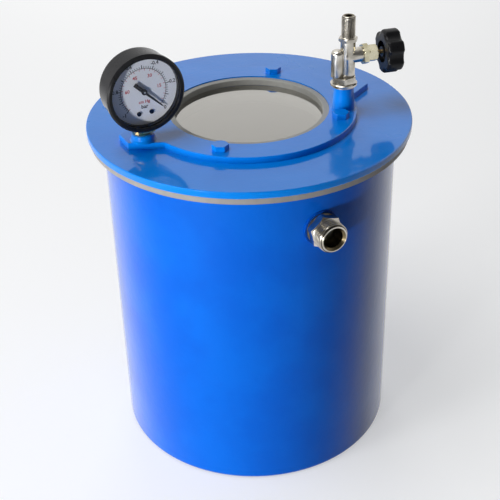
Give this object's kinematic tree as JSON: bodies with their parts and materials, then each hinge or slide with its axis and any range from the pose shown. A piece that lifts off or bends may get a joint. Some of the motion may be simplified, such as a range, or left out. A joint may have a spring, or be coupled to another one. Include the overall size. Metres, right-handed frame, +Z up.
{
  "type": "vacuum chamber",
  "caption": "Round steel vacuum chamber with a loose lid, bolted sight glass, dial vacuum gauge, needle valve and threaded pump port.",
  "frame": {"origin": "centre of the underside of the vessel", "axes": "+Z up along the vessel; -Y towards the side the dial, bolt and pump port are seen from; +X to that view's right, where the valve stands"},
  "size_m": [0.23, 0.23, 0.3243],
  "materials": {
    "black_enamel": "glossy black enamel",
    "brass": "turned",
    "bronze": "drawn phosphor bronze",
    "clear_lens": "clear",
    "copper": "soft copper",
    "dial_white": "matt white with printed scale",
    "gasket_silicone": "light translucent silicone",
    "knob_black": "moulded, glossy",
    "lid_paint": "glossy blue enamel",
    "packing_white": "soft packing",
    "plated_metal": "nickel-plated brass",
    "pointer_black": "matt black",
    "seal_rubber": "grey-brown rubber",
    "sight_glass": "clear",
    "steel": "turned",
    "vessel_paint": "glossy blue enamel"
  },
  "bodies": {
    "chamber": {"clamp_bolts": "lid_paint", "clamp_ring": "lid_paint", "gauge_bezel": "black_enamel", "gauge_boss": "lid_paint", "gauge_bourdon_tube": "bronze", "gauge_case": "black_enamel", "gauge_dial": "dial_white", "gauge_dial_screws": "plated_metal", "gauge_hairspring": "bronze", "gauge_lens": "clear_lens", "gauge_lens_ring": "black_enamel", "gauge_movement_plates": "brass", "gauge_stem": "brass", "lid_gasket": "gasket_silicone", "lid_plate": "lid_paint", "port_bush": "vessel_paint", "port_nipple": "plated_metal", "port_washer": "plated_metal", "valve_body": "plated_metal", "valve_bonnet_ring": "plated_metal", "valve_boss": "lid_paint", "valve_gland_nut": "plated_metal", "valve_packing": "packing_white", "valve_washer": "copper", "vessel_base": "vessel_paint", "vessel_shell": "vessel_paint", "window_glass": "sight_glass", "window_seal_lower": "seal_rubber", "window_seal_upper": "seal_rubber", "window_seat": "lid_paint"},
    "valve_stem": {"valve_stem": "brass"},
    "valve_knob": {"valve_knob": "knob_black", "valve_knob_screw": "brass"},
    "pointer": {"gauge_pointer": "pointer_black", "gauge_pointer_arbor": "steel"},
    "sector": {"gauge_sector": "brass"},
    "link": {"gauge_link": "brass"}
  },
  "joints": [
    {"name": "valve_stem_slide", "type": "slide", "parent": "chamber", "child": "valve_stem", "axis": [0.9703, 0.2419, 0], "range_m": [0, 0.003]},
    {"name": "valve_knob_turn", "type": "hinge", "parent": "valve_stem", "child": "valve_knob", "pos_m": [0.06634, -0.00464, 0.2957], "axis": [0.9703, 0.2419, 0], "range_deg": [0, 1080]},
    {"name": "pointer_turn", "type": "hinge", "parent": "chamber", "child": "pointer", "pos_m": [-0.07142, -0.04498, 0.2945], "axis": [0.4384, -0.8988, 0], "range_deg": [0, 270], "stiffness_Nm_per_rad": 0.002},
    {"name": "sector_turn", "type": "hinge", "parent": "chamber", "child": "sector", "pos_m": [-0.07142, -0.04498, 0.2825], "axis": [0.4384, -0.8988, 0], "range_deg": [-30, 0]},
    {"name": "link_turn", "type": "hinge", "parent": "sector", "child": "link", "pos_m": [-0.0766, -0.0475, 0.28085], "axis": [0.4384, -0.8988, 0], "range_deg": [0, 40.49]}
  ],
  "couplings": [
    {"joint": "valve_knob_turn", "follows": "valve_stem_slide", "rad_per_m": 6283.2},
    {"joint": "sector_turn", "follows": "pointer_turn", "ratio": -0.11111},
    {"joint": "link_turn", "follows": "pointer_turn", "ratio": 0.1499}
  ]
}
